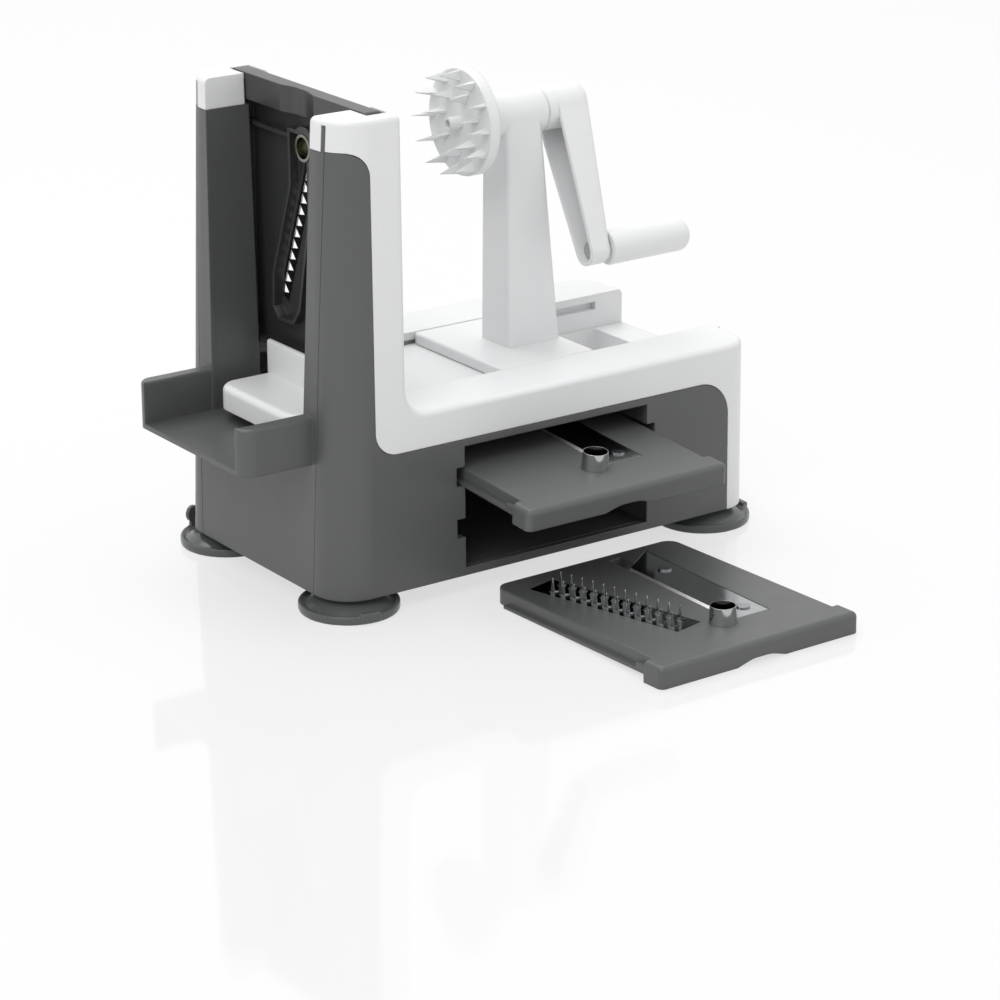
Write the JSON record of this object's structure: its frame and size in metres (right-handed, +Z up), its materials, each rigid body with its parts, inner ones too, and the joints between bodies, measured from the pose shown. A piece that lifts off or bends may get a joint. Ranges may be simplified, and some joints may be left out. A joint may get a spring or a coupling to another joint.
{
  "type": "spiralizer",
  "caption": "Hand-cranked vegetable spiralizer with a sliding carriage, spiked disc, exit tray, plate store and three blade plates.",
  "frame": {"origin": "on the table, under the middle of the outline of the housing with its crank, tray and plates", "axes": "+X towards the crank, away from the exit tray; -Y the side with the plate store; +Z up"},
  "size_m": [0.2965, 0.3048, 0.2405],
  "materials": {
    "white_plastic": "satin-gloss moulded ABS, soft broad highlights",
    "grey_plastic": "semi-matte moulded ABS with a fine spark-eroded grain",
    "blade_steel": "ground stainless strip",
    "ring_steel": "polished stainless",
    "suction_rubber": "soft dark rubber"
  },
  "bodies": {
    "housing": {"upper_housing": "white_plastic", "side_shell_near": "grey_plastic", "side_shell_far": "grey_plastic", "front_frame": "grey_plastic", "plate_guide_near": "grey_plastic", "plate_guide_far": "grey_plastic", "step_block": "white_plastic", "channel_floor": "white_plastic", "plate_store": "grey_plastic", "bottom_cover": "grey_plastic", "foot_studs": "ring_steel", "suction_foot_front_near": "suction_rubber", "suction_foot_front_far": "suction_rubber", "suction_foot_rear_near": "suction_rubber", "suction_foot_rear_far": "suction_rubber"},
    "carriage_assembly": {"carriage": "white_plastic"},
    "crank": {"spike_disc": "white_plastic", "crank_shaft": "ring_steel", "crank_arm": "white_plastic", "handle_pin": "ring_steel"},
    "grip": {"handle_grip": "white_plastic"},
    "working_plate": {"working_plate_frame": "grey_plastic", "working_plate_blade": "blade_steel", "working_plate_comb": "blade_steel", "working_plate_core_ring": "ring_steel", "working_plate_screws": "ring_steel"},
    "stored_plate": {"stored_plate_frame": "grey_plastic", "stored_plate_blade": "blade_steel", "stored_plate_core_ring": "ring_steel", "stored_plate_screws": "ring_steel"},
    "loose_plate": {"loose_plate_frame": "grey_plastic", "loose_plate_blade": "blade_steel", "loose_plate_comb": "blade_steel", "loose_plate_core_ring": "ring_steel", "loose_plate_screws": "ring_steel"}
  },
  "joints": [
    {"name": "carriage_slide", "type": "slide", "parent": "housing", "child": "carriage_assembly", "axis": [1, 0, 0], "range_m": [-0.055, 0.058]},
    {"name": "crank_turn", "type": "hinge", "parent": "carriage_assembly", "child": "crank", "pos_m": [0.04084, 0.07136, 0.212], "axis": [1, 0, 0], "continuous": true},
    {"name": "grip_spin", "type": "hinge", "parent": "crank", "child": "grip", "pos_m": [0.09834, 0.03906, 0.1452], "axis": [1, 0, 0], "continuous": true},
    {"name": "working_plate_lift", "type": "slide", "parent": "housing", "child": "working_plate", "axis": [0, 0, 1], "range_m": [0, 0.13]},
    {"name": "stored_plate_slide", "type": "slide", "parent": "housing", "child": "stored_plate", "axis": [0, -0.9981, -0.061], "range_m": [-0.041, 0.07]},
    {"name": "loose_plate_lift", "type": "slide", "parent": "housing", "child": "loose_plate", "axis": [0, 0, 1], "range_m": [0, 0.02]}
  ]
}
